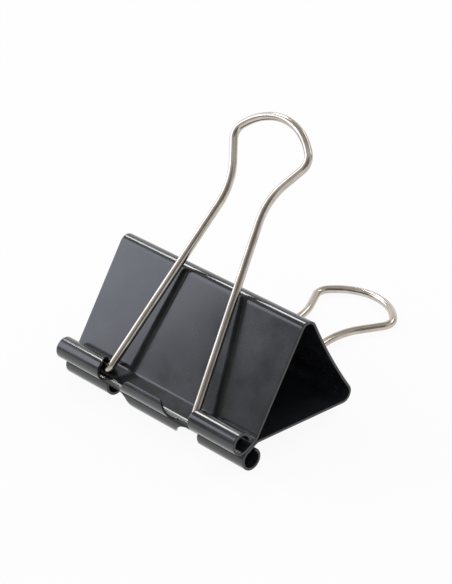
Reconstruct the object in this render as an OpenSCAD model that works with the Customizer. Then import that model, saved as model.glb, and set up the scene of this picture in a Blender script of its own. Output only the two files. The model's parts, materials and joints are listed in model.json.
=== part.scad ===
// Folding paper clip: one folded spring steel strip and two wire handles.
// Frame: X along the mouth, +Y from the mouth to the spine, +Z up.
// It lies as it does on a desk, on its back tubes and the end of its back handle.

/* [Clip body] */
// Width of the clip along its mouth
clip_w = 51; // [44:0.5:62]
// Thickness of the spring steel
sheet_t = 0.5; // [0.35:0.05:0.6]
// Flat length of a jaw, from the throat to the spine bend
jaw_flat = 21.6; // [18:0.2:28]
// Half of the angle between the jaws when the clip is shut, in degrees
half_angle = 29; // [24:0.5:32]
// Outer radius of the bend between a jaw and the spine
bend_r = 2; // [1.4:0.1:2.8]
// How far the middle of the spine bows in behind its bends
spine_sag = 0.4; // [0.2:0.05:0.8]

/* [Lips] */
// Outer radius of the rolled tubes along the mouth
tube_r = 2.2; // [1.9:0.05:2.7]
// Length of each rolled tube, in from the end of the clip
tube_len = 12.5; // [9.5:0.1:15]
// How far round each tube is rolled, in degrees
tube_curl = 300; // [270:1:305]
// Distance from the tubes' middle plane to the throat, where the flats would meet
throat_y = 2.9; // [2.5:0.05:3.6]
// Radius of the fold at the throat, on the outside of the clip
throat_r = 1.2; // [1:0.1:2.5]
// Space between the two lips when the clip is shut
lip_gap = 0.1; // [0.05:0.01:0.2]
// Half width of the middle lip at its free edge
strip_edge = 4.9; // [3.5:0.1:6]
// Half width of the middle lip at the side of its roll
strip_side = 6.7; // [5.5:0.1:7.5]
// Half width of the middle lip at its root
strip_root = 9.7; // [8:0.1:10.5]
// How far round the middle lip is rolled, in degrees
strip_curl = 160; // [140:1:180]
// How far round the roots of the notches are, in degrees
notch_root = 40; // [35:1:50]
// How much the free corner of a tube is cut back
corner_cut = 1.4; // [0.6:0.1:2]
// How much the sheet thins inside a roll
roll_thin = 0.02; // [0.01:0.01:0.05]

/* [Handles] */
// Thickness of the handle wire
wire_d = 1.6; // [1.2:0.05:2]
// Half width of the neck, at the middle of the wire
neck_half = 5.4; // [4:0.1:6.5]
// Distance from the pins to the neck
neck_at = 39.6; // [34:0.2:48]
// Radius of the neck's bend
neck_r = 12; // [6:0.5:12]
// Half width of the finger loop, at the middle of the wire
loop_half = 9.85; // [9:0.05:12]
// Distance from the pins to the widest part of the loop
loop_at = 51; // [50:0.2:60]
// Radius of the loop's two corners
corner_r = 2.7; // [1.8:0.1:3.2]
// Radius of the top of the loop
crown_r = 12.3; // [11.5:0.1:16]
// Radius of the bend between a leg and its pin
foot_r = 1.5; // [1.2:0.1:1.9]
// Length of a pin, from the leg to its tip
pin_len = 7; // [4:0.1:9]
// How much the wire swells in radius where it is bent
bend_swell = 0.01; // [0.01:0.01:0.03]

/* [Fits] */
// Space between a leg and the end of its tube
leg_clear = 0.15; // [0.05:0.05:0.3]
// How far the front handle sits askew in its loose pins, in degrees
front_skew = 1.05; // [0:0.05:1.5]
// Space between a resting handle and the spine bend
lean_gap = 0.5; // [0.45:0.05:0.9]
// Space between a jaw's rounded end and the spine
hinge_gap = 0.05; // [0.03:0.01:0.1]

/* [Hidden] */
$fn = 48;
// Largest turn of one step of a bent sheet, in degrees
bend_step = 6;
// How far cuts run past what they cut, and how far wires run into their bends
past = 1;
bite = 0.1;
half_w = clip_w / 2;
lip = lip_gap / 2;
wire_r = wire_d / 2;
wall_in = tube_r - sheet_t;
// Middle of a tube, beside the clip's middle plane
tube_mid = [0, lip + tube_r];
tube_z = tube_mid[1];
tube_in = half_w - tube_len;

// A point at distance d along the jaw and h out from its inner face
function on_jaw(d, h) = [
    throat_y + d * cos(half_angle) - h * sin(half_angle),
    lip + d * sin(half_angle) + h * cos(half_angle)
];
// Points of an arc from angle a0 to a1, without its first one when it is shared
function arc(mid, r, a0, a1, shared = 0) = [
    for (n = ceil(abs(a1 - a0) / bend_step), i = [shared:n])
        mid + r * [cos(a0 + (a1 - a0) * i / n), sin(a0 + (a1 - a0) * i / n)]
];

fold = throat_r + sheet_t;
fold_back = fold * tan(half_angle / 2);
fold_mid = [throat_y - fold_back, lip + fold];
hinge_at = jaw_flat - sheet_t / 2 - hinge_gap;
hinge = on_jaw(hinge_at, sheet_t / 2);
bend_mid = on_jaw(jaw_flat, sheet_t - bend_r);
// The spine's bowed middle is an arc that meets both bends smoothly
bow_r = (pow(bend_r - spine_sag, 2) + pow(bend_mid[1], 2) - pow(bend_r, 2)) / (2 * spine_sag);
bow_y = bend_mid[0] + bend_r - spine_sag + bow_r;
bow_half = atan(bend_mid[1] / (bow_y - bend_mid[0]));
bend_to = 90 + half_angle;
bend_low = [bend_mid[0], -bend_mid[1]];

// Edge of a jaw's sheet: out along its inner face, round its end and back
jaw_edge = concat(
    arc(tube_mid, tube_r, 270 - tube_curl, 270),
    arc(fold_mid, fold, 270, 270 + half_angle),
    arc(hinge, sheet_t / 2, half_angle - 90, half_angle + 90),
    arc(fold_mid, throat_r, 270 + half_angle, 270),
    arc(tube_mid, wall_in, 270, 270 - tube_curl)
);
// Edge of the strap's sheet: down its outside and back up its inside
strap_edge = concat(
    arc(bend_mid, bend_r, bend_to, -bow_half),
    arc([bow_y, 0], bow_r, 180 - bow_half, 180 + bow_half, 1),
    arc(bend_low, bend_r, bow_half, -bend_to, 1),
    arc(bend_low, bend_r - sheet_t, -bend_to, bow_half),
    arc([bow_y, 0], bow_r + sheet_t, 180 + bow_half, 180 - bow_half, 1),
    arc(bend_mid, bend_r - sheet_t, -bow_half, bend_to, 1)
);
// Notch beside the middle lip, seen from the mouth
root_z = lip + tube_r * (1 - cos(notch_root));
notch_top = tube_z + tube_r + past;
notch = [
    [strip_edge, notch_top],
    [strip_edge, tube_z + tube_r],
    [strip_side, tube_z],
    [strip_side + 0.3 * (strip_root - strip_side), root_z + 0.4 * (tube_z - root_z)],
    [strip_root, root_z],
    [tube_in, root_z],
    [tube_in, notch_top]
];
// Free corner of a tube, seen from above
corner = [
    [tube_in - past, 0],
    [tube_in, 0],
    [tube_in + corner_cut, tube_r],
    [tube_in - past, tube_r]
];

// Handle outline, x across and y out from the pins
leg_at_wall = tube_in - leg_clear - wire_r;
neck_mid = [neck_half + neck_r, neck_at];
corner_mid = [loop_half - corner_r, loop_at];
crown_y = loop_at - sqrt(pow(crown_r - corner_r, 2) - pow(corner_mid[0], 2));
crown_turn = atan2(loop_at - crown_y, corner_mid[0]);
handle_len = crown_y + crown_r;
// Angle of the leg from straight out, leaning in towards the neck
to_neck = neck_mid - [leg_at_wall, wall_in];
leg_lean = atan2(to_neck[1], to_neck[0]) + asin(neck_r / norm(to_neck)) - 90;
leg_foot = leg_at_wall + wall_in * tan(leg_lean);
foot_run = foot_r * tan(45 - leg_lean / 2);
foot_mid = [leg_foot + foot_run, foot_r];
leg_start = foot_mid - foot_r * [cos(leg_lean), sin(leg_lean)];
leg_end = neck_mid - neck_r * [cos(leg_lean), sin(leg_lean)];
// Angle of the flare line from the neck to the loop's corner
to_corner = corner_mid - neck_mid;
flare = atan2(to_corner[1], to_corner[0]) - asin((neck_r + corner_r) / norm(to_corner));
flare_out = [-sin(flare), cos(flare)];
flare_start = neck_mid + neck_r * flare_out;
flare_end = corner_mid - corner_r * flare_out;
crown_bite = bite / crown_r * 180 / PI;

// A resting handle leans on the spine bend
to_bend = bend_mid - tube_mid;
rest_angle = atan2(to_bend[1], to_bend[0]) + asin((bend_r + wire_r + lean_gap) / norm(to_bend));
// The clip lies on its back tubes and the end of its back handle
handle_drop = asin((tube_r - wire_r) / handle_len);
tilt = rest_angle - handle_drop;
front_y = -tube_z * sin(tilt) - tube_r;
back_y = tube_z * sin(tilt) + handle_len * cos(handle_drop) + wire_r;
desk_z = tube_z * cos(tilt) + tube_r;

// Puts a shape drawn about the clip's middle plane where it lies on the desk
module on_desk() {
    translate([0, -(front_y + back_y) / 2, desk_z])
        rotate([tilt, 0, 0])
            children();
}

// Turns a profile drawn in y and z so that it runs along the clip, out to half on both sides
module along(half) {
    translate([-half, 0, 0])
        rotate([90, 0, 90])
            linear_extrude(2 * half)
                children();
}

// Flat jaw with its rolled lips, as the upper of the two
module jaw() {
    difference() {
        along(half_w)
            polygon(jaw_edge);
        translate([-half_w - past, 0, tube_z])
            rotate([0, 90, 0])
                cylinder(r = wall_in + roll_thin, h = clip_w + 2 * past);
        along(tube_in)
            polygon(concat([tube_mid], arc(tube_mid, tube_r + bite, 270 - strip_curl, 268 - tube_curl)));
        for (side = [0, 1])
            mirror([side, 0, 0]) {
                translate([0, bite, 0])
                    rotate([90, 0, 0])
                        linear_extrude(tube_r + past)
                            polygon(notch);
                translate([0, 0, tube_z - wall_in / 2])
                    linear_extrude(2 * tube_r)
                        polygon(corner);
            }
    }
}

// Back strap that joins the jaws: two bends and a bowed middle
module strap() {
    along(half_w)
        polygon(strap_edge);
}

// Straight piece of wire between two points of the outline, run into its bends by set lengths
module rod(from, to, before, after) {
    run = to - from;
    translate([from[0], from[1], 0])
        rotate([0, 0, atan2(run[1], run[0])])
            rotate([0, 90, 0])
                translate([0, 0, -before])
                    cylinder(r = wire_r, h = norm(run) + before + after);
}

// Wire bent round a point of the outline, from angle a0 to a1
module wire_bend(mid, r, a0, a1, swell) {
    translate([mid[0], mid[1], 0])
        rotate([0, 0, a0])
            rotate_extrude(angle = a1 - a0)
                translate([r, 0])
                    circle(r = wire_r + swell);
}

// One side of the handle, from its pin to the crown
module handle_side() {
    rod([leg_foot + foot_run, 0], [leg_foot + pin_len, 0], bite, 0);
    wire_bend(foot_mid, foot_r, 180 + leg_lean, 270, bend_swell);
    rod(leg_start, leg_end, bite, bite);
    wire_bend(neck_mid, neck_r, 90 + flare, 180 + leg_lean, bend_swell);
    rod(flare_start, flare_end, bite, bite);
    wire_bend(corner_mid, corner_r, flare - 90, crown_turn, bend_swell);
}

// Whole handle, folded back against the clip as it rests, askew by the given angle
module handle(skew = 0) {
    translate([0, 0, tube_z])
        rotate([rest_angle, 0, 0])
            rotate([0, 0, -skew]) {
                handle_side();
                mirror([1, 0, 0])
                    handle_side();
                wire_bend([0, crown_y], crown_r, crown_turn - crown_bite, 180 - crown_turn + crown_bite, 0);
            }
}

module spine() {
    color("#24262a")
        on_desk()
            strap();
}

module front_jaw() {
    color("#2a2c30")
        on_desk()
            jaw();
}

module back_jaw() {
    color("#2a2c30")
        on_desk()
            mirror([0, 0, 1])
                jaw();
}

module front_handle() {
    color("#c9c3b8")
        on_desk()
            handle(front_skew);
}

module back_handle() {
    color("#c9c3b8")
        on_desk()
            mirror([0, 0, 1])
                handle();
}

spine();
front_jaw();
back_jaw();
front_handle();
back_handle();
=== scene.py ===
import json
import math

import bpy
from mathutils import Matrix, Vector


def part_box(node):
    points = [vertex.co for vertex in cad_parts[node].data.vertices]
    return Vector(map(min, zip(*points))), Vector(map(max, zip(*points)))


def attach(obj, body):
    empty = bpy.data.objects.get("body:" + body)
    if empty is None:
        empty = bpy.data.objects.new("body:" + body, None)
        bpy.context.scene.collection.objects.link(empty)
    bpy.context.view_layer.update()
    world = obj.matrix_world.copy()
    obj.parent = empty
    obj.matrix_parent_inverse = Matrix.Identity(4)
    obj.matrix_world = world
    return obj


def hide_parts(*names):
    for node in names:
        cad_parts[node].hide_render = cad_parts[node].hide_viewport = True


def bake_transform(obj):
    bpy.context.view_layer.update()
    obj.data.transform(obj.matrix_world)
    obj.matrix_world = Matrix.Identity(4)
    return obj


bl_info = {
    "name": "Binder clip",
    "version": (1, 0, 0),
    "blender": (4, 5, 0),
    "location": "View3D > Sidebar > Clip",
    "description": "A folding paper clip with an enamelled steel body and two wire handles",
    "category": "Object",
}

MM = 0.001
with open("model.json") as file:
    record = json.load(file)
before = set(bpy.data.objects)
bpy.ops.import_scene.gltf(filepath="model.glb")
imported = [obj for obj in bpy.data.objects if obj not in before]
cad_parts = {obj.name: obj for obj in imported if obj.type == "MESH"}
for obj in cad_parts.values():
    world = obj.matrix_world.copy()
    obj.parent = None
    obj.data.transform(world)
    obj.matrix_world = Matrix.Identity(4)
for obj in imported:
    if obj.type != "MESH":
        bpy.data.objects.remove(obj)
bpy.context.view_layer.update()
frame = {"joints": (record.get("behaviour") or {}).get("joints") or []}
JOINTS = {j["name"]: j for j in frame["joints"]}


# ---------------------------------------------------------------- places


def clip_axes():
    """The clip's own frame: its origin between the tubes, its depth axis and its height axis."""
    front = Vector(JOINTS["front_handle_swing"]["pos_m"])
    back = Vector(JOINTS["back_handle_swing"]["pos_m"])
    high = (front - back).normalized()
    deep = Vector((0, high.z, -high.y))
    return (front + back) / 2, deep, high


ORIGIN, DEEP, HIGH = clip_axes()
TUBE_Z = (Vector(JOINTS["front_handle_swing"]["pos_m"]) - ORIGIN).length


def in_clip(point):
    """A row frame point as (depth, height) in the clip's own frame."""
    d = Vector(point) - ORIGIN
    return d.dot(DEEP), d.dot(HIGH)


def from_clip(x, v, w):
    """A point of the clip's own frame in the row frame."""
    return ORIGIN + Vector((x, 0, 0)) + DEEP * v + HIGH * w


# ---------------------------------------------------------------- settings


class ClipBodySizes(bpy.types.PropertyGroup):
    half_width: bpy.props.FloatProperty(
        name="Half width",
        description="Half of the clip's width along its mouth",
        default=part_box("spine")[1].x,
        unit="LENGTH",
        precision=5,
    )
    sheet: bpy.props.FloatProperty(
        name="Sheet thickness",
        description="Thickness of the spring steel",
        default=0.5 * MM,
        unit="LENGTH",
        precision=5,
    )
    tube_r: bpy.props.FloatProperty(
        name="Tube radius",
        description="Outer radius of the rolled tubes",
        default=2.2 * MM,
        unit="LENGTH",
        precision=5,
    )
    tube_curl: bpy.props.FloatProperty(
        name="Tube curl",
        description="How far round each tube is rolled",
        default=math.radians(300),
        subtype="ANGLE",
    )
    tube_in: bpy.props.FloatProperty(
        name="Tube start",
        description="Distance from the middle of the clip to the inner end of a tube",
        default=13 * MM,
        unit="LENGTH",
        precision=5,
    )
    corner_cut: bpy.props.FloatProperty(
        name="Corner cut",
        description="How much a tube's free corner is cut back",
        default=1.4 * MM,
        unit="LENGTH",
        precision=5,
    )
    strip_curl: bpy.props.FloatProperty(
        name="Middle lip curl",
        description="How far round the middle lip is rolled",
        default=math.radians(160),
        subtype="ANGLE",
    )
    strip_edge: bpy.props.FloatProperty(
        name="Middle lip edge",
        description="Half width of the middle lip at its free edge",
        default=4.9 * MM,
        unit="LENGTH",
        precision=5,
    )
    strip_side: bpy.props.FloatProperty(
        name="Middle lip side",
        description="Half width of the middle lip at the side of its roll",
        default=6.7 * MM,
        unit="LENGTH",
        precision=5,
    )
    strip_root: bpy.props.FloatProperty(
        name="Middle lip root",
        description="Half width of the middle lip at its root",
        default=9.7 * MM,
        unit="LENGTH",
        precision=5,
    )
    notch_root: bpy.props.FloatProperty(
        name="Notch root",
        description="How far round the roots of the notches are",
        default=math.radians(40),
        subtype="ANGLE",
    )
    throat_y: bpy.props.FloatProperty(
        name="Throat",
        description="Distance from the tubes' middle plane to the throat",
        default=2.9 * MM,
        unit="LENGTH",
        precision=5,
    )
    throat_r: bpy.props.FloatProperty(
        name="Throat radius",
        description="Radius of the fold at the throat",
        default=1.2 * MM,
        unit="LENGTH",
        precision=5,
    )
    jaw_flat: bpy.props.FloatProperty(
        name="Jaw flat",
        description="Flat length of a jaw, from the throat to the spine bend",
        default=21.6 * MM,
        unit="LENGTH",
        precision=5,
    )
    half_angle: bpy.props.FloatProperty(
        name="Half angle",
        description="Half of the angle between the shut jaws",
        default=math.radians(29),
        subtype="ANGLE",
    )
    bend_r: bpy.props.FloatProperty(
        name="Bend radius",
        description="Outer radius of the bend between a jaw and the spine",
        default=2 * MM,
        unit="LENGTH",
        precision=5,
    )
    spine_sag: bpy.props.FloatProperty(
        name="Spine sag",
        description="How far the spine bows in behind its bends",
        default=0.4 * MM,
        unit="LENGTH",
        precision=5,
    )
    edge_round: bpy.props.FloatProperty(
        name="Edge rounding",
        description="Radius of the sheet's tumbled edges",
        default=0.13 * MM,
        unit="LENGTH",
        precision=5,
    )
    corner_round: bpy.props.FloatProperty(
        name="Corner rounding",
        description="Radius of the punched corners of the lips",
        default=0.5 * MM,
        unit="LENGTH",
        precision=5,
    )


class ClipHandleSizes(bpy.types.PropertyGroup):
    wire: bpy.props.FloatProperty(
        name="Wire thickness",
        description="Thickness of the handle wire",
        default=1.6 * MM,
        unit="LENGTH",
        precision=5,
    )
    leg_foot: bpy.props.FloatProperty(
        name="Leg foot",
        description="Distance from the middle to a leg's line at the pins",
        default=12.357 * MM,
        unit="LENGTH",
        precision=5,
    )
    leg_lean: bpy.props.FloatProperty(
        name="Leg lean",
        description="How far a leg leans in towards the neck",
        default=math.radians(10.236),
        subtype="ANGLE",
    )
    foot_r: bpy.props.FloatProperty(
        name="Foot radius",
        description="Radius of the bend between a leg and its pin",
        default=1.5 * MM,
        unit="LENGTH",
        precision=5,
    )
    pin_len: bpy.props.FloatProperty(
        name="Pin length",
        description="Length of a pin, from the leg to its tip",
        default=7 * MM,
        unit="LENGTH",
        precision=5,
    )
    neck_half: bpy.props.FloatProperty(
        name="Neck half width",
        description="Half width of the neck, at the middle of the wire",
        default=5.4 * MM,
        unit="LENGTH",
        precision=5,
    )
    neck_at: bpy.props.FloatProperty(
        name="Neck place",
        description="Distance from the pins to the neck",
        default=39.6 * MM,
        unit="LENGTH",
        precision=5,
    )
    neck_r: bpy.props.FloatProperty(
        name="Neck radius",
        description="Radius of the neck's bend",
        default=12 * MM,
        unit="LENGTH",
        precision=5,
    )
    loop_half: bpy.props.FloatProperty(
        name="Loop half width",
        description="Half width of the finger loop, at the middle of the wire",
        default=9.85 * MM,
        unit="LENGTH",
        precision=5,
    )
    loop_at: bpy.props.FloatProperty(
        name="Loop place",
        description="Distance from the pins to the widest part of the loop",
        default=51 * MM,
        unit="LENGTH",
        precision=5,
    )
    corner_r: bpy.props.FloatProperty(
        name="Loop corner radius",
        description="Radius of the loop's two corners",
        default=2.7 * MM,
        unit="LENGTH",
        precision=5,
    )
    crown_r: bpy.props.FloatProperty(
        name="Crown radius",
        description="Radius of the top of the loop",
        default=12.3 * MM,
        unit="LENGTH",
        precision=5,
    )
    front_skew: bpy.props.FloatProperty(
        name="Front skew",
        description="How far the front handle sits askew in its loose pins",
        default=math.radians(1.05),
        subtype="ANGLE",
    )
    tip_chamfer: bpy.props.FloatProperty(
        name="Tip chamfer",
        description="Length of the chamfer at a pin's tip",
        default=0.25 * MM,
        unit="LENGTH",
        precision=5,
    )


class ClipFinish(bpy.types.PropertyGroup):
    enamel: bpy.props.FloatVectorProperty(
        name="Enamel",
        description="Colour of the body's black enamel",
        default=(0.011, 0.012, 0.014),
        subtype="COLOR",
        size=3,
        min=0,
        max=1,
    )
    worn_enamel: bpy.props.FloatVectorProperty(
        name="Thin enamel",
        description="Colour of the enamel where it is thin, along the sheet's edges",
        default=(0.026, 0.026, 0.028),
        subtype="COLOR",
        size=3,
        min=0,
        max=1,
    )
    nickel: bpy.props.FloatVectorProperty(
        name="Nickel",
        description="Colour of the handles' nickel plate",
        default=(0.62, 0.565, 0.50),
        subtype="COLOR",
        size=3,
        min=0,
        max=1,
    )
    dull_nickel: bpy.props.FloatVectorProperty(
        name="Dull nickel",
        description="Colour of the nickel where handling has dulled it",
        default=(0.47, 0.41, 0.345),
        subtype="COLOR",
        size=3,
        min=0,
        max=1,
    )


# ---------------------------------------------------------------- shader groups


# How many times lighter the enamel is where it is smudged: partly real smudge, partly painted sheen
SMUDGE_AND_SHEEN_LIGHTENS = 2.2
DUST = (0.075, 0.076, 0.08, 1)
EDGE_DUST = (0.09, 0.088, 0.086, 1)
# Distance, in metres, that a height of one stands for in the enamel's and the wire's bump
ENAMEL_BUMP = 0.02 * MM
WIRE_BUMP = 0.03 * MM


def add(nodes, kind, x, y, **values):
    """A new node, with the settings or, failing those, the inputs that go by the given names."""
    node = nodes.new(kind)
    node.location = (x, y)
    for name, value in values.items():
        if hasattr(node, name):
            setattr(node, name, value)
        else:
            node.inputs[name.replace("_", " ")].default_value = value
    return node


def new_group(name, inputs, outputs):
    """A shader group with the sockets given as (name, type, default)."""
    tree = bpy.data.node_groups.new(name, "ShaderNodeTree")
    for socket, kind, default in inputs:
        made = tree.interface.new_socket(name=socket, in_out="INPUT", socket_type=kind)
        if default is not None:
            made.default_value = default
    for socket, kind in outputs:
        tree.interface.new_socket(name=socket, in_out="OUTPUT", socket_type=kind)
    return tree


def handling_marks_group():
    """Smudges and fine specks that handling leaves, as two masks from 0 to 1; on the enamel the
    smudge mask also places painted sheen.
    """
    tree = new_group(
        "Handling marks",
        [
            ("Smudge size", "NodeSocketFloat", 90.0),
            ("Speck size", "NodeSocketFloat", 1400.0),
            ("Speck amount", "NodeSocketFloat", 0.2),
        ],
        [("Smudge", "NodeSocketFloat"), ("Speck", "NodeSocketFloat")],
    )
    nodes, links = tree.nodes, tree.links
    ins = add(nodes, "NodeGroupInput", -700, 0)
    outs = add(nodes, "NodeGroupOutput", 500, 0)
    place = add(nodes, "ShaderNodeTexCoord", -700, -250)
    smudge = add(nodes, "ShaderNodeTexNoise", -400, 120, Detail=5.0, Roughness=0.6)
    smudge_range = add(nodes, "ShaderNodeMapRange", -100, 120, clamp=True)
    smudge_range.inputs["From Min"].default_value = 0.38
    smudge_range.inputs["From Max"].default_value = 0.68
    speck = add(nodes, "ShaderNodeTexNoise", -400, -200, Detail=2.0, Roughness=0.5)
    low = add(nodes, "ShaderNodeMath", -400, -450, operation="SUBTRACT")
    low.inputs[0].default_value = 0.8
    speck_range = add(nodes, "ShaderNodeMapRange", -100, -200, clamp=True)
    speck_range.inputs["From Max"].default_value = 0.82
    links.new(ins.outputs["Smudge size"], smudge.inputs["Scale"])
    links.new(ins.outputs["Speck size"], speck.inputs["Scale"])
    links.new(ins.outputs["Speck amount"], low.inputs[1])
    links.new(place.outputs["Object"], smudge.inputs["Vector"])
    links.new(place.outputs["Object"], speck.inputs["Vector"])
    links.new(smudge.outputs["Fac"], smudge_range.inputs["Value"])
    links.new(speck.outputs["Fac"], speck_range.inputs["Value"])
    links.new(low.outputs[0], speck_range.inputs["From Min"])
    links.new(smudge_range.outputs["Result"], outs.inputs["Smudge"])
    links.new(speck_range.outputs["Result"], outs.inputs["Speck"])
    return tree


def enamel_skin_group():
    """The stoved enamel's skin: fine orange peel over slow waves in the sheet, as a height."""
    tree = new_group(
        "Enamel skin",
        [
            ("Peel size", "NodeSocketFloat", 1300.0),
            ("Wave size", "NodeSocketFloat", 120.0),
            ("Wave share", "NodeSocketFloat", 0.6),
        ],
        [("Height", "NodeSocketFloat")],
    )
    nodes, links = tree.nodes, tree.links
    ins = add(nodes, "NodeGroupInput", -700, 0)
    outs = add(nodes, "NodeGroupOutput", 500, 0)
    place = add(nodes, "ShaderNodeTexCoord", -700, -250)
    peel = add(nodes, "ShaderNodeTexNoise", -400, 150, Detail=2.0, Roughness=0.45)
    wave = add(nodes, "ShaderNodeTexNoise", -400, -150, Detail=1.0, Roughness=0.4)
    part = add(nodes, "ShaderNodeMath", -100, -150, operation="MULTIPLY")
    both = add(nodes, "ShaderNodeMath", 200, 0, operation="ADD")
    links.new(ins.outputs["Peel size"], peel.inputs["Scale"])
    links.new(ins.outputs["Wave size"], wave.inputs["Scale"])
    links.new(place.outputs["Object"], peel.inputs["Vector"])
    links.new(place.outputs["Object"], wave.inputs["Vector"])
    links.new(wave.outputs["Fac"], part.inputs[0])
    links.new(ins.outputs["Wave share"], part.inputs[1])
    links.new(peel.outputs["Fac"], both.inputs[0])
    links.new(part.outputs[0], both.inputs[1])
    links.new(both.outputs[0], outs.inputs["Height"])
    return tree


def place_group(nodes, tree, x, y, **values):
    """A placed shader group, with its inputs named as its sockets are."""
    node = add(nodes, "ShaderNodeGroup", x, y)
    node.node_tree = tree
    for name, value in values.items():
        node.inputs[name.replace("_", " ")].default_value = value
    return node


def new_material(name):
    """A material, its nodes, its links and its Principled BSDF."""
    made = bpy.data.materials.new(name)
    made.use_nodes = True
    nodes, links = made.node_tree.nodes, made.node_tree.links
    skin = nodes["Principled BSDF"]
    return made, nodes, links, skin


def colour_mix(nodes, links, x, y, mask, first, second):
    """The first colour where the mask is 0, the second where it is 1."""
    mix = add(nodes, "ShaderNodeMix", x, y, data_type="RGBA")
    mix.inputs[6].default_value = (*first, 1)
    mix.inputs[7].default_value = (*second, 1)
    links.new(mask, mix.inputs[0])
    return mix.outputs[2]


def ranged(nodes, links, x, y, value, low, high):
    """The value, from 0 to 1, spread from low to high."""
    node = add(nodes, "ShaderNodeMapRange", x, y)
    node.inputs["To Min"].default_value = low
    node.inputs["To Max"].default_value = high
    links.new(value, node.inputs["Value"])
    return node.outputs["Result"]


def bumped(nodes, links, x, y, height, strength, distance, skin):
    """Raises the skin's normal by the height."""
    bump = add(nodes, "ShaderNodeBump", x, y)
    bump.inputs["Strength"].default_value = strength
    bump.inputs["Distance"].default_value = distance
    links.new(height, bump.inputs["Height"])
    links.new(bump.outputs["Normal"], skin.inputs["Normal"])


def dusted(nodes, links, x, y, mask, colour, dust, skin):
    """Lays specks of dust over the colour, where the mask is up."""
    mix = add(nodes, "ShaderNodeMix", x, y, data_type="RGBA")
    mix.inputs[7].default_value = dust
    links.new(mask, mix.inputs[0])
    links.new(colour, mix.inputs[6])
    links.new(mix.outputs[2], skin.inputs["Base Color"])


def enamel_material(finish, marks, peel):
    """Glossy black stoved enamel on the sheet's faces, with lighter smudges that are partly painted
    sheen.
    """
    made, nodes, links, skin = new_material("Black enamel")
    mark = place_group(
        nodes, marks, -900, 200, Smudge_size=110.0, Speck_size=2600.0, Speck_amount=0.13
    )
    grain = place_group(nodes, peel, -900, -200)
    # Smudged patches get a lighter colour: partly real smudge, partly painted sheen
    sheen_and_smudge_colour = [SMUDGE_AND_SHEEN_LIGHTENS * c for c in finish.enamel]
    smudge = mark.outputs["Smudge"]
    colour = colour_mix(nodes, links, -600, 250, smudge, finish.enamel, sheen_and_smudge_colour)
    dusted(nodes, links, -300, 250, mark.outputs["Speck"], colour, DUST, skin)
    links.new(ranged(nodes, links, -450, 0, smudge, 0.14, 0.27), skin.inputs["Roughness"])
    bumped(nodes, links, -300, -250, grain.outputs["Height"], 0.025, ENAMEL_BUMP, skin)
    skin.inputs["Specular IOR Level"].default_value = 0.5
    skin.inputs["Coat Weight"].default_value = 0.45
    skin.inputs["Coat Roughness"].default_value = 0.09
    return made


def edge_material(finish, marks, peel):
    """The same enamel where it runs thin over the sheet's cut edges."""
    made, nodes, links, skin = new_material("Thin enamel on cut edges")
    mark = place_group(
        nodes, marks, -900, 200, Smudge_size=420.0, Speck_size=3000.0, Speck_amount=0.22
    )
    grain = place_group(
        nodes, peel, -900, -200, Peel_size=3200.0, Wave_size=600.0, Wave_share=1.0
    )
    smudge = mark.outputs["Smudge"]
    colour = colour_mix(nodes, links, -600, 250, smudge, finish.enamel, finish.worn_enamel)
    dusted(nodes, links, -300, 250, mark.outputs["Speck"], colour, EDGE_DUST, skin)
    links.new(ranged(nodes, links, -450, 0, smudge, 0.28, 0.42), skin.inputs["Roughness"])
    bumped(nodes, links, -300, -250, grain.outputs["Height"], 0.1, ENAMEL_BUMP, skin)
    skin.inputs["Specular IOR Level"].default_value = 0.45
    skin.inputs["Coat Weight"].default_value = 0.3
    skin.inputs["Coat Roughness"].default_value = 0.2
    return made


def nickel_material(finish, marks):
    """Nickel plated wire, with the long draw lines of the wire under the plate."""
    made, nodes, links, skin = new_material("Nickel plated wire")
    mark = place_group(nodes, marks, -1200, 300, Smudge_size=260.0)
    along = add(nodes, "ShaderNodeAttribute", -1500, -100, attribute_name="along")
    across = add(nodes, "ShaderNodeAttribute", -1500, -350, attribute_name="around")
    turn = add(nodes, "ShaderNodeMath", -1300, -350, operation="MULTIPLY")
    turn.inputs[1].default_value = 2 * math.pi
    sine = add(nodes, "ShaderNodeMath", -1100, -300, operation="SINE")
    cosine = add(nodes, "ShaderNodeMath", -1100, -450, operation="COSINE")
    line = add(nodes, "ShaderNodeCombineXYZ", -900, -250)
    stretch = add(nodes, "ShaderNodeMath", -1300, -100, operation="MULTIPLY")
    stretch.inputs[1].default_value = 90.0
    drawn = add(nodes, "ShaderNodeTexNoise", -700, -250, Scale=7.0, Detail=4.0, Roughness=0.6)
    links.new(along.outputs["Fac"], stretch.inputs[0])
    links.new(across.outputs["Fac"], turn.inputs[0])
    links.new(turn.outputs[0], sine.inputs[0])
    links.new(turn.outputs[0], cosine.inputs[0])
    links.new(stretch.outputs[0], line.inputs[0])
    links.new(sine.outputs[0], line.inputs[1])
    links.new(cosine.outputs[0], line.inputs[2])
    links.new(line.outputs[0], drawn.inputs["Vector"])
    smudge = mark.outputs["Smudge"]
    colour = colour_mix(nodes, links, -600, 300, smudge, finish.nickel, finish.dull_nickel)
    links.new(colour, skin.inputs["Base Color"])
    links.new(ranged(nodes, links, -450, 60, smudge, 0.13, 0.24), skin.inputs["Roughness"])
    bumped(nodes, links, -300, -250, drawn.outputs["Fac"], 0.22, WIRE_BUMP, skin)
    skin.inputs["Metallic"].default_value = 1.0
    return made


# ---------------------------------------------------------------- body


# Rows along a jaw's flat, as shares of it; they are closer near the spine, where the sheet bends
JAW_ROWS = (0.08, 0.2, 0.35, 0.5, 0.65, 0.77, 0.83, 0.87, 0.9, 0.93, 0.96, 0.98)
# Width of the columns beside the cut edges, as a share of an end tube and of half the middle.
# They keep the flats' shading level up to the edges.
END_RIM = 0.022
MID_RIM = 0.03
# The notches' round roots: how far round from the root, in degrees, and the share of the way
# from the lip's width at its root to its width at its side
NOTCH_CURVE = ((7, 0.38), (20, 0.7))
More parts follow.
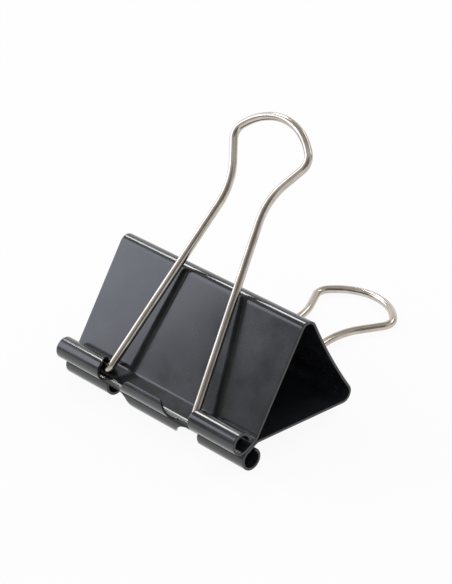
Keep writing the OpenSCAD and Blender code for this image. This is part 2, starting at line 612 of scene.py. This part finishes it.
# Angles nearer than this, in radians, count as one
NEAR = 1e-6
# The kinds of a sheet's cells: on a face, on a cut edge, and on the middle of the spine
ON_FACE, ON_EDGE, ON_MIDDLE = range(3)
# Cosine of the turn from one cell to the next past which their shared edge is sharp
SHARP_COSINE = 0.6


def spread(low, high, count):
    """Even steps from low to high, both ends among them."""
    return [low + (high - low) * i / count for i in range(count + 1)]


def rimmed(shares, rim):
    """The shares, with one more beside each end."""
    return [shares[0], shares[0] + rim, *shares[1:-1], shares[-1] - rim, shares[-1]]


def arc_rows(mid, radius, start, end, step, outward):
    """Points and outward directions of an arc in the clip's own frame, with the angle of each."""
    count = max(1, math.ceil(abs(end - start) / step))
    rows = []
    for i in range(count + 1):
        a = start + (end - start) * i / count
        out = (math.cos(a), math.sin(a))
        point = (mid[0] + radius * out[0], mid[1] + radius * out[1])
        rows.append((point, (outward * out[0], outward * out[1]), a))
    return rows


def value_between(x, knots):
    """The value at x on straight lines between knots given as (x, value), level past both ends."""
    if x <= knots[0][0]:
        return knots[0][1]
    for (x0, y0), (x1, y1) in zip(knots, knots[1:]):
        if x <= x1:
            t = (x - x0) / (x1 - x0)
            return y0 + (y1 - y0) * t
    return knots[-1][1]


def corner_inset(left, radius):
    """How far a rounded corner's edge lies in, at a distance left from the free edge."""
    if left >= radius:
        return 0.0
    return radius - math.sqrt(max(0.0, radius * radius - (radius - left) ** 2))


def sheet_rows(p):
    """Rows of the folded sheet from the lip's free edge to the middle of the spine.

    Each row is a point and an outward direction on the sheet's middle, and how far round the
    lip it is, or -1 past the lip. It also returns the end of the jaw's flat and the centre of
    the spine bend.
    """
    t = p.sheet / 2
    lip = TUBE_Z - p.tube_r
    phi = p.half_angle
    right = 1.5 * math.pi
    mid_r = p.tube_r - t
    tube = (0.0, TUBE_Z)
    fold = p.throat_r + p.sheet
    back = fold * math.tan(phi / 2)
    fold_mid = (p.throat_y - back, lip + fold)
    rows = []
    fine = p.corner_round / mid_r
    # The lip is rolled back from its free edge to its root, in finer steps by its round corners
    for a0, a1, step in (
        (p.tube_curl, p.tube_curl - fine, math.radians(2.5)),
        (p.tube_curl - fine, p.strip_curl, math.radians(5)),
        (p.strip_curl, p.strip_curl - fine, math.radians(2.5)),
        (p.strip_curl - fine, p.notch_root, math.radians(4)),
        (p.notch_root, 0.0, math.radians(5)),
    ):
        part = arc_rows(tube, mid_r, right - a0, right - a1, step, -1)
        rows += [(point, out, right - a) for point, out, a in part[bool(rows) :]]
    part = arc_rows(fold_mid, p.throat_r + t, right, right + phi, math.radians(4), -1)
    rows += [(point, out, -1.0) for point, out, _ in part]
    along = (math.cos(phi), math.sin(phi))
    face = (-along[1], along[0])

    def on_jaw(d):
        return (
            p.throat_y + d * along[0] + t * face[0],
            lip + d * along[1] + t * face[1],
        )

    flat = p.jaw_flat - back
    for share in JAW_ROWS:
        rows.append((on_jaw(back + flat * share), face, -1.0))
    end = on_jaw(p.jaw_flat)
    bend_mid = (end[0] - (p.bend_r - t) * face[0], end[1] - (p.bend_r - t) * face[1])
    k = p.bend_r - p.spine_sag
    bow_r = (k * k + bend_mid[1] ** 2 - p.bend_r**2) / (2 * p.spine_sag)
    bow_v = bend_mid[0] + k + bow_r
    bow_half = math.atan2(bend_mid[1], bow_v - bend_mid[0])
    part = arc_rows(bend_mid, p.bend_r - t, math.pi / 2 + phi, -bow_half, math.radians(4), 1)
    rows += [(point, out, -1.0) for point, out, _ in part]
    part = arc_rows((bow_v, 0.0), bow_r + t, math.pi - bow_half, math.pi, bow_half / 12, -1)
    rows += [(point, out, -1.0) for point, out, _ in part[1:]]
    return rows, end, bend_mid


def lip_half_width(p, curl):
    """Half width of the middle lip at an angle round it."""
    narrows = p.strip_root - p.strip_side
    knots = [(p.notch_root, p.strip_root)]
    for turn, share in NOTCH_CURVE:
        knots.append((p.notch_root + math.radians(turn), p.strip_root - share * narrows))
    knots += [(math.pi / 2, p.strip_side), (p.strip_curl, p.strip_edge)]
    left = (p.strip_curl - curl) * (p.tube_r - p.sheet / 2)
    return value_between(curl, knots) - corner_inset(left, p.corner_round)


def tube_span(p, curl):
    """Inner and outer ends of a tube at an angle round it."""
    inner = p.tube_in
    if curl > math.pi:
        inner += p.corner_cut * min(1.0, -math.sin(curl) if curl < 1.5 * math.pi else 1.0)
    inset = corner_inset((p.tube_curl - curl) * (p.tube_r - p.sheet / 2), p.corner_round)
    return inner + inset, p.half_width - inset


END_SHARES = rimmed(spread(0.0, 1.0, 8), END_RIM)
MID_SHARES = rimmed(spread(-1.0, 1.0, 14), MID_RIM)
NOTCH_CELLS = 3
MID_START = len(END_SHARES) + NOTCH_CELLS - 1
RIGHT_START = MID_START + len(MID_SHARES) + NOTCH_CELLS - 1
COLUMNS = RIGHT_START + len(END_SHARES)


def row_columns(p, curl):
    """The x position of each column that a row has, by the column's number.

    Columns run from left to right over an end, a notch, the middle, a notch and an end. Rows of
    the rolled lip have none in the notches, and those past the middle lip have none in the middle.
    """
    rolled = curl > p.notch_root + NEAR
    inner, outer, wide = p.tube_in, p.half_width, p.strip_root
    if rolled:
        inner, outer = tube_span(p, curl)
        wide = lip_half_width(p, curl) if curl <= p.strip_curl + NEAR else None
    right = [inner + (outer - inner) * share for share in END_SHARES]
    left = [-x for x in reversed(right)]
    columns = dict(enumerate(left))
    columns.update(enumerate(right, RIGHT_START))
    if wide is not None:
        columns.update(enumerate([wide * share for share in MID_SHARES], MID_START))
    if not rolled:
        across = spread(left[-1], -wide, NOTCH_CELLS)[1:-1]
        columns.update(enumerate(across, len(left)))
        columns.update(enumerate([-x for x in reversed(across)], RIGHT_START - len(across)))
    return columns


def sheet_points(p, side, rows):
    """Points of one half of the sheet, and each row's point numbers by (column, on the outside)."""
    points, table = [], []
    for place, out, curl in rows:
        numbers = {}
        for column, x in sorted(row_columns(p, curl).items()):
            for level in (p.sheet / 2, -p.sheet / 2):
                v = place[0] + out[0] * level
                w = side * (place[1] + out[1] * level)
                numbers[column, level > 0] = len(points)
                points.append(tuple(from_clip(x, v, w)))
        table.append(numbers)
    return points, table


def sheet_cells(table, side):
    """Cells of the sheet's two faces and of its edges, and the kind of each."""
    solid = {
        (r, c)
        for r in range(len(table) - 1)
        for c in range(COLUMNS - 1)
        if all((k, True) in row for row in table[r : r + 2] for k in (c, c + 1))
    }
    cells, kinds = [], []

    def put(kind, cell):
        cells.append(cell if side > 0 else cell[::-1])
        kinds.append(kind)

    for r, c in sorted(solid):
        a, b = table[r], table[r + 1]
        top = [a[c, True], a[c + 1, True], b[c + 1, True], b[c, True]]
        low = [a[c, False], a[c + 1, False], b[c + 1, False], b[c, False]]
        put(ON_FACE, top)
        put(ON_FACE, [low[1], low[0], low[3], low[2]])
        if (r, c - 1) not in solid:
            put(ON_EDGE, [low[0], top[0], top[3], low[3]])
        if (r, c + 1) not in solid:
            put(ON_EDGE, [top[1], low[1], low[2], top[2]])
        if (r - 1, c) not in solid:
            put(ON_EDGE, [top[1], top[0], low[0], low[1]])
        if (r + 1, c) not in solid:
            kind = ON_MIDDLE if r + 2 == len(table) else ON_EDGE
            put(kind, [top[3], top[2], low[2], low[3]])
    return cells, kinds


def mark_sharp_edges(mesh, kinds):
    """Gives the sheet's sharp edges a bevel weight, but for those on the middle of the spine."""
    touching = {}
    for face, kind in zip(mesh.polygons, kinds):
        for key in face.edge_keys:
            touching.setdefault(key, []).append((face.normal.copy(), kind))
    weights = [0.0] * len(mesh.edges)
    for edge in mesh.edges:
        near = touching.get(edge.key, [])
        if len(near) == 2 and ON_MIDDLE not in (near[0][1], near[1][1]):
            if near[0][0].dot(near[1][0]) < SHARP_COSINE:
                weights[edge.index] = 1.0
    made = mesh.attributes.new("bevel_weight_edge", "FLOAT", "EDGE")
    made.data.foreach_set("value", weights)


def body_half(p, name, side, faces, edges):
    """One half of the folded strip: a jaw with its lips, a bend and half of the spine.

    side is 1 for the front jaw and -1 for the back jaw. It also returns the end of the jaw's
    flat and the centre of the spine bend.
    """
    rows, flat_end, bend_mid = sheet_rows(p)
    points, table = sheet_points(p, side, rows)
    cells, kinds = sheet_cells(table, side)
    mesh = bpy.data.meshes.new(name)
    mesh.from_pydata(points, [], cells)
    mesh.materials.append(faces)
    mesh.materials.append(edges)
    mesh.polygons.foreach_set("material_index", [int(kind != ON_FACE) for kind in kinds])
    mesh.update()
    mark_sharp_edges(mesh, kinds)
    piece = bpy.data.objects.new(name, mesh)
    bpy.context.scene.collection.objects.link(piece)
    bevel = piece.modifiers.new("Tumbled edges", "BEVEL")
    bevel.limit_method = "WEIGHT"
    bevel.width = p.edge_round
    bevel.segments = 3
    bevel.material = 1
    bevel.use_clamp_overlap = True
    flatten(piece)
    piece.data.shade_smooth()
    piece.data.set_sharp_from_angle(angle=math.radians(40))
    return piece, flat_end, bend_mid


def flatten(piece):
    """Turns the piece's evaluated shape into its plain mesh and drops its modifiers."""
    bpy.context.view_layer.update()
    seen = piece.evaluated_get(bpy.context.evaluated_depsgraph_get())
    made = bpy.data.meshes.new_from_object(seen)
    made.name = piece.name
    piece.modifiers.clear()
    piece.data = made


class CLIP_OT_folded_body(bpy.types.Operator):
    """Makes the folded steel body: both jaws with their rolled lips, the bends and the spine"""

    bl_idname = "clip.folded_body"
    bl_label = "Folded body"

    def execute(self, context):
        p = context.scene.clip_body
        finish = context.scene.clip_finish
        marks, peel = handling_marks_group(), enamel_skin_group()
        faces = enamel_material(finish, marks, peel)
        edges = edge_material(finish, marks, peel)
        for name, side, jaw in (
            ("Front_jaw_sheet", 1, "front_jaw"),
            ("Back_jaw_sheet", -1, "back_jaw"),
        ):
            piece, flat_end, bend_mid = body_half(p, name, side, faces, edges)
            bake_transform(piece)
            if side > 0:
                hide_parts("front_jaw", "spine")
            else:
                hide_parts("back_jaw")
        return {"FINISHED"}


# ---------------------------------------------------------------- handles


WIRE_SIDES = 28
# Thickness of a pin's chamfered tip, as a share of the wire's
TIP_SHARE = 0.7


def handle_outline(p):
    """One handle's centre line, from the right pin's tip to the left one's, as (across, out)."""
    lean = p.leg_lean
    run = p.foot_r * math.tan(math.pi / 4 - lean / 2)
    foot = (p.leg_foot + run, p.foot_r)
    neck = (p.neck_half + p.neck_r, p.neck_at)
    corner = (p.loop_half - p.corner_r, p.loop_at)
    crown = p.loop_at - math.sqrt((p.crown_r - p.corner_r) ** 2 - corner[0] ** 2)
    crown_turn = math.atan2(p.loop_at - crown, corner[0])
    to_corner = (corner[0] - neck[0], corner[1] - neck[1])
    flare = math.atan2(to_corner[1], to_corner[0])
    flare -= math.asin((p.neck_r + p.corner_r) / math.hypot(*to_corner))

    def arc(mid, radius, start, end, step):
        count = max(2, math.ceil(abs(end - start) / math.radians(step)))
        return [
            (mid[0] + radius * math.cos(a), mid[1] + radius * math.sin(a))
            for a in spread(start, end, count)
        ]

    tip = p.leg_foot + p.pin_len
    side = [(tip, 0.0), (tip - p.tip_chamfer, 0.0), (tip - 2 * p.tip_chamfer, 0.0)]
    side += arc(foot, p.foot_r, 1.5 * math.pi, math.pi + lean, 7)
    leg_start = side[-1]
    leg_end = (neck[0] - p.neck_r * math.cos(lean), neck[1] - p.neck_r * math.sin(lean))
    for share in spread(0.0, 1.0, 12)[1:-1]:
        side.append(tuple(a + (b - a) * share for a, b in zip(leg_start, leg_end)))
    side += arc(neck, p.neck_r, math.pi + lean, math.pi / 2 + flare, 3)
    side += arc(corner, p.corner_r, flare - math.pi / 2, crown_turn, 5)
    top = arc((0.0, crown), p.crown_r, crown_turn, math.pi - crown_turn, 3)
    return side + top[1:-1] + [(-x, y) for x, y in reversed(side)]


def skewed(outline, angle):
    """The outline turned about the middle of the pins, its loop towards +X."""
    c, s = math.cos(angle), math.sin(angle)
    return [(x * c + y * s, y * c - x * s) for x, y in outline]


def wire_tree():
    """Geometry nodes that sweep a round wire along a path and put a material on it."""
    tree = bpy.data.node_groups.new("Bent wire", "GeometryNodeTree")
    face = tree.interface
    face.new_socket(name="Path", in_out="INPUT", socket_type="NodeSocketGeometry")
    for name, kind, default in (
        ("Wire thickness", "NodeSocketFloat", 1.6 * MM),
        ("Sides", "NodeSocketInt", WIRE_SIDES),
        ("Wire material", "NodeSocketMaterial", None),
    ):
        made = face.new_socket(name=name, in_out="INPUT", socket_type=kind)
        if default is not None:
            made.default_value = default
    face.new_socket(name="Wire", in_out="OUTPUT", socket_type="NodeSocketGeometry")
    nodes, links = tree.nodes, tree.links
    ins = add(nodes, "NodeGroupInput", -900, 0)
    outs = add(nodes, "NodeGroupOutput", 1300, 0)
    path = add(nodes, "GeometryNodeMeshToCurve", -700, 100)
    taper = add(nodes, "GeometryNodeInputNamedAttribute", -700, -100, data_type="FLOAT")
    taper.inputs["Name"].default_value = "taper"
    radius = add(nodes, "GeometryNodeSetCurveRadius", -450, 100)
    spline = add(nodes, "GeometryNodeSplineParameter", -450, -150)
    keep = "GeometryNodeStoreNamedAttribute"
    keep_along = add(nodes, keep, -200, 100, data_type="FLOAT", domain="POINT")
    keep_along.inputs["Name"].default_value = "along"
    half = add(nodes, "ShaderNodeMath", -700, -350, operation="MULTIPLY")
    half.inputs[1].default_value = 0.5
    ring = add(nodes, "GeometryNodeCurvePrimitiveCircle", -450, -350)
    ring_spline = add(nodes, "GeometryNodeSplineParameter", -450, -600)
    keep_around = add(nodes, keep, -200, -350, data_type="FLOAT", domain="POINT")
    keep_around.inputs["Name"].default_value = "around"
    sweep = add(nodes, "GeometryNodeCurveToMesh", 100, 50)
    sweep.inputs["Fill Caps"].default_value = True
    smooth = add(nodes, "GeometryNodeSetShadeSmooth", 350, 50)
    real = add(nodes, "GeometryNodeRealizeInstances", 600, 50)
    coat = add(nodes, "GeometryNodeSetMaterial", 900, 50)
    links.new(ins.outputs["Path"], path.inputs[0])
    links.new(path.outputs[0], radius.inputs["Curve"])
    links.new(taper.outputs["Attribute"], radius.inputs["Radius"])
    links.new(radius.outputs["Curve"], keep_along.inputs["Geometry"])
    links.new(spline.outputs["Length"], keep_along.inputs["Value"])
    links.new(ins.outputs["Wire thickness"], half.inputs[0])
    links.new(half.outputs[0], ring.inputs["Radius"])
    links.new(ins.outputs["Sides"], ring.inputs["Resolution"])
    links.new(ring.outputs["Curve"], keep_around.inputs["Geometry"])
    links.new(ring_spline.outputs["Factor"], keep_around.inputs["Value"])
    links.new(keep_along.outputs["Geometry"], sweep.inputs["Curve"])
    links.new(keep_around.outputs["Geometry"], sweep.inputs["Profile Curve"])
    if "Scale" in sweep.inputs:
        links.new(taper.outputs["Attribute"], sweep.inputs["Scale"])
    links.new(sweep.outputs["Mesh"], smooth.inputs["Geometry"])
    links.new(smooth.outputs["Geometry"], real.inputs["Geometry"])
    links.new(real.outputs["Geometry"], coat.inputs["Geometry"])
    links.new(ins.outputs["Wire material"], coat.inputs["Material"])
    links.new(coat.outputs["Geometry"], outs.inputs["Wire"])
    return tree


def set_input(modifier, name, value):
    """Sets a Geometry Nodes modifier's input by its socket's name."""
    for item in modifier.node_group.interface.items_tree:
        if item.item_type == "SOCKET" and item.in_out == "INPUT" and item.name == name:
            modifier[item.identifier] = value
            return
    raise RuntimeError("the wire's nodes have no input named " + name)


class CLIP_OT_wire_handles(bpy.types.Operator):
    """Makes the two nickel plated wire handles, with their pins in the tubes"""

    bl_idname = "clip.wire_handles"
    bl_label = "Wire handles"

    def execute(self, context):
        p = context.scene.clip_handles
        marks = bpy.data.node_groups.get("Handling marks") or handling_marks_group()
        nickel = nickel_material(context.scene.clip_finish, marks)
        tree = wire_tree()
        for node, joint, skew in (
            ("front_handle", "front_handle_swing", p.front_skew),
            ("back_handle", "back_handle_swing", 0.0),
        ):
            outline = skewed(handle_outline(p), skew)
            far = max(y for _, y in outline)
            pin = Vector(JOINTS[joint]["pos_m"])
            pin.x = 0
            low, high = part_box(node)
            # The loop's top is the end of the node's box that lies farthest from the pins
            reach = high.y - p.wire / 2 - pin.y
            rise = math.sqrt(max(0.0, far * far - reach * reach))
            if high.z - pin.z <= pin.z - low.z:
                rise = -rise
            out = Vector((0, reach, rise)).normalized()
            name = node.capitalize() + "_wire"
            mesh = bpy.data.meshes.new(name)
            points = [tuple(pin + Vector((x, 0, 0)) + out * y) for x, y in outline]
            mesh.from_pydata(points, [(i, i + 1) for i in range(len(points) - 1)], [])
            taper = mesh.attributes.new("taper", "FLOAT", "POINT")
            values = [TIP_SHARE, *[1.0] * (len(points) - 2), TIP_SHARE]
            taper.data.foreach_set("value", values)
            wire = bpy.data.objects.new(name, mesh)
            context.scene.collection.objects.link(wire)
            bend = wire.modifiers.new("Bent wire", "NODES")
            bend.node_group = tree
            set_input(bend, "Wire thickness", p.wire)
            set_input(bend, "Sides", WIRE_SIDES)
            set_input(bend, "Wire material", nickel)
            flatten(wire)
            if not wire.data.polygons:
                raise RuntimeError(name + " came out empty")
            wire.data.set_sharp_from_angle(angle=math.radians(50))
            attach(wire, node)
            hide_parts(node)
        return {"FINISHED"}


# ---------------------------------------------------------------- stage


# Half of the table top's width
TABLE_HALF = 3.0
# What the lamps point at
AIM = Vector((0, 0, 0.02))
# Each lamp's name, place, width, height, power in watts and colour
LAMPS = (
    ("Left softbox", (-0.53, -0.245, 0.295), 0.42, 0.4, 1.2, (0.88, 0.92, 1.07)),
    ("Top lamp", (-0.4, 0.15, 0.44), 0.12, 0.12, 0.5, (1, 1, 1)),
    ("Back strip", (0.1, 0.5, 0.4), 0.5, 0.12, 0.5, (1, 1, 1)),
)
# Where the viewer stands, as a direction from the clip
VIEWER = Vector((0.66, -0.54, 0.45)).normalized()
# Brightness of the mirrored room, from straight behind the clip (0) to straight towards the
# viewer (1)
ROOM_LEVELS = ((0.15, 1.0), (0.4, 0.5), (0.55, 0.38), (0.8, 0.62), (0.98, 0.2))
# Brightness of the room as it lights dull surfaces
FILL_LEVEL = 0.75
# Darkest and lightest grey of the table top
TABLE_SHADES = (0.9, 0.94)
# How much of the table top's look is plain white, and takes no shadow
TABLE_GLOW = 0.93
# Camera place and turn in the clip's own frame, in metres and radians, and its lens in mm
CAMERA_AT = (0.31218, -0.11595, 0.32302)
CAMERA_TURN = (2.3563, 0.7531, -0.8044)
CAMERA_LENS = 152.72


def softbox(name, place, width, height, power, colour):
    """A soft rectangular lamp that points at the clip."""
    data = bpy.data.lights.new(name, "AREA")
    data.shape = "RECTANGLE"
    data.size, data.size_y = width, height
    data.energy = power
    data.color = colour
    lamp = bpy.data.objects.new(name, data)
    lamp.location = place
    lamp.rotation_euler = (AIM - Vector(place)).to_track_quat("-Z", "Y").to_euler()
    bpy.context.scene.collection.objects.link(lamp)


def studio_world():
    """A studio, white to the camera and in what the clip mirrors behind it, dimmer elsewhere."""
    world = bpy.data.worlds.new("Studio")
    bpy.context.scene.world = world
    world.use_nodes = True
    nodes, links = world.node_tree.nodes, world.node_tree.links
    nodes.clear()
    out = add(nodes, "ShaderNodeOutputWorld", 900, 0)
    path = add(nodes, "ShaderNodeLightPath", -600, 500)
    either = add(nodes, "ShaderNodeMath", -300, 450, operation="MAXIMUM")
    links.new(path.outputs["Is Glossy Ray"], either.inputs[0])
    links.new(path.outputs["Is Transmission Ray"], either.inputs[1])
    place = add(nodes, "ShaderNodeTexCoord", -900, 0)
    toward = add(nodes, "ShaderNodeVectorMath", -600, 0, operation="DOT_PRODUCT")
    toward.inputs[1].default_value = VIEWER
    links.new(place.outputs["Generated"], toward.inputs[0])
    half_turn = add(nodes, "ShaderNodeMapRange", -450, 0)
    half_turn.inputs["From Min"].default_value = -1.0
    links.new(toward.outputs["Value"], half_turn.inputs["Value"])
    fall = add(nodes, "ShaderNodeValToRGB", -300, 0)
    ramp = fall.color_ramp
    ramp.interpolation = "EASE"
    for _ in range(len(ROOM_LEVELS) - 2):
        ramp.elements.new(0.5)
    for stop, (place_on_turn, level) in zip(ramp.elements, ROOM_LEVELS):
        stop.position = place_on_turn
        stop.color = (level, level, level, 1)
    links.new(half_turn.outputs["Result"], fall.inputs["Fac"])
    room = add(nodes, "ShaderNodeBackground", 0, 0)
    links.new(fall.outputs["Color"], room.inputs["Color"])
    fill = add(nodes, "ShaderNodeBackground", 0, -200, Strength=FILL_LEVEL)
    white = add(nodes, "ShaderNodeBackground", 0, 300, Strength=1.0)
    mirrored = add(nodes, "ShaderNodeMixShader", 300, 0)
    links.new(either.outputs[0], mirrored.inputs[0])
    links.new(fill.outputs[0], mirrored.inputs[1])
    links.new(room.outputs[0], mirrored.inputs[2])
    seen = add(nodes, "ShaderNodeMixShader", 600, 0)
    links.new(path.outputs["Is Camera Ray"], seen.inputs[0])
    links.new(mirrored.outputs[0], seen.inputs[1])
    links.new(white.outputs[0], seen.inputs[2])
    links.new(seen.outputs[0], out.inputs["Surface"])


def floor_material():
    """A table top that looks white to the camera and in reflections, but for a faint shadow."""
    made = bpy.data.materials.new("White table top")
    made.use_nodes = True
    nodes, links = made.node_tree.nodes, made.node_tree.links
    nodes.clear()
    out = add(nodes, "ShaderNodeOutputMaterial", 900, 0)
    place = add(nodes, "ShaderNodeTexCoord", -900, 0)
    tooth = add(nodes, "ShaderNodeTexNoise", -600, 0, Scale=900.0, Detail=2.0)
    links.new(place.outputs["Object"], tooth.inputs["Vector"])
    shade = ranged(nodes, links, -300, 0, tooth.outputs["Fac"], *TABLE_SHADES)
    top = add(nodes, "ShaderNodeBsdfDiffuse", 0, 0)
    links.new(shade, top.inputs["Color"])
    path = add(nodes, "ShaderNodeLightPath", -600, 500)
    one = add(nodes, "ShaderNodeMath", -300, 500, operation="MAXIMUM")
    two = add(nodes, "ShaderNodeMath", -100, 450, operation="MAXIMUM")
    links.new(path.outputs["Is Camera Ray"], one.inputs[0])
    links.new(path.outputs["Is Glossy Ray"], one.inputs[1])
    links.new(one.outputs[0], two.inputs[0])
    links.new(path.outputs["Is Transmission Ray"], two.inputs[1])
    part = add(nodes, "ShaderNodeMath", 100, 450, operation="MULTIPLY")
    part.inputs[1].default_value = TABLE_GLOW
    links.new(two.outputs[0], part.inputs[0])
    glow = add(nodes, "ShaderNodeEmission", 0, 250, Strength=1.0)
    mix = add(nodes, "ShaderNodeMixShader", 500, 100)
    links.new(part.outputs[0], mix.inputs[0])
    links.new(top.outputs[0], mix.inputs[1])
    links.new(glow.outputs[0], mix.inputs[2])
    links.new(mix.outputs[0], out.inputs["Surface"])
    return made


class CLIP_OT_studio(bpy.types.Operator):
    """Sets the table top, the soft lights and the camera"""

    bl_idname = "clip.studio"
    bl_label = "Studio"

    def execute(self, context):
        scene = context.scene
        mesh = bpy.data.meshes.new("Table_top")
        r = TABLE_HALF
        mesh.from_pydata([(-r, -r, 0), (r, -r, 0), (r, r, 0), (-r, r, 0)], [], [(0, 1, 2, 3)])
        table = bpy.data.objects.new("Table_top", mesh)
        mesh.materials.append(floor_material())
        scene.collection.objects.link(table)
        studio_world()
        for lamp in LAMPS:
            softbox(*lamp)
        place_camera(scene)
        scene.view_settings.view_transform = "Standard"
        return {"FINISHED"}


def place_camera(scene):
    """The camera, placed and turned in the clip's own frame."""
    data = bpy.data.cameras.new("Camera")
    data.lens = CAMERA_LENS
    data.sensor_width = 36
    data.sensor_fit = "AUTO"
    data.clip_start = 0.01
    camera = bpy.data.objects.new("Camera", data)
    turn = Vector(CAMERA_TURN)
    looks = Matrix.Rotation(turn.length, 3, turn.normalized())
    # The rows of the turn are the camera's right, down and forward in the clip's own frame
    to_row = Matrix(((1, 0, 0), (0, DEEP.y, HIGH.y), (0, DEEP.z, HIGH.z)))
    right, down, ahead = (to_row @ Vector(row) for row in looks)
    up, back = -down, -ahead
    place = from_clip(*CAMERA_AT)
    camera.matrix_world = Matrix(
        (
            (right.x, up.x, back.x, place.x),
            (right.y, up.y, back.y, place.y),
            (right.z, up.z, back.z, place.z),
            (0, 0, 0, 1),
        )
    )
    scene.collection.objects.link(camera)
    scene.camera = camera


# ---------------------------------------------------------------- panel


class CLIP_PT_panel(bpy.types.Panel):
    """Lists the clip's pieces and their sizes"""

    bl_idname = "CLIP_PT_panel"
    bl_label = "Binder clip"
    bl_space_type = "VIEW_3D"
    bl_region_type = "UI"
    bl_category = "Clip"

    def draw(self, context):
        layout = self.layout
        for operator in OPERATORS:
            layout.operator(operator.bl_idname)
        scene = context.scene
        for group in (scene.clip_body, scene.clip_handles, scene.clip_finish):
            box = layout.box()
            for name in group.bl_rna.properties.keys():
                if name not in ("rna_type", "name"):
                    box.prop(group, name)


OPERATORS = (CLIP_OT_folded_body, CLIP_OT_wire_handles, CLIP_OT_studio)
CLASSES = (ClipBodySizes, ClipHandleSizes, ClipFinish, *OPERATORS, CLIP_PT_panel)


def register():
    for each in CLASSES:
        bpy.utils.register_class(each)
    bpy.types.Scene.clip_body = bpy.props.PointerProperty(type=ClipBodySizes)
    bpy.types.Scene.clip_handles = bpy.props.PointerProperty(type=ClipHandleSizes)
    bpy.types.Scene.clip_finish = bpy.props.PointerProperty(type=ClipFinish)


def unregister():
    del bpy.types.Scene.clip_finish
    del bpy.types.Scene.clip_handles
    del bpy.types.Scene.clip_body
    for each in reversed(CLASSES):
        bpy.utils.unregister_class(each)


def main():
    register()
    bpy.ops.clip.folded_body()
    bpy.ops.clip.wire_handles()
    bpy.ops.clip.studio()


if __name__ == "__main__":
    main()
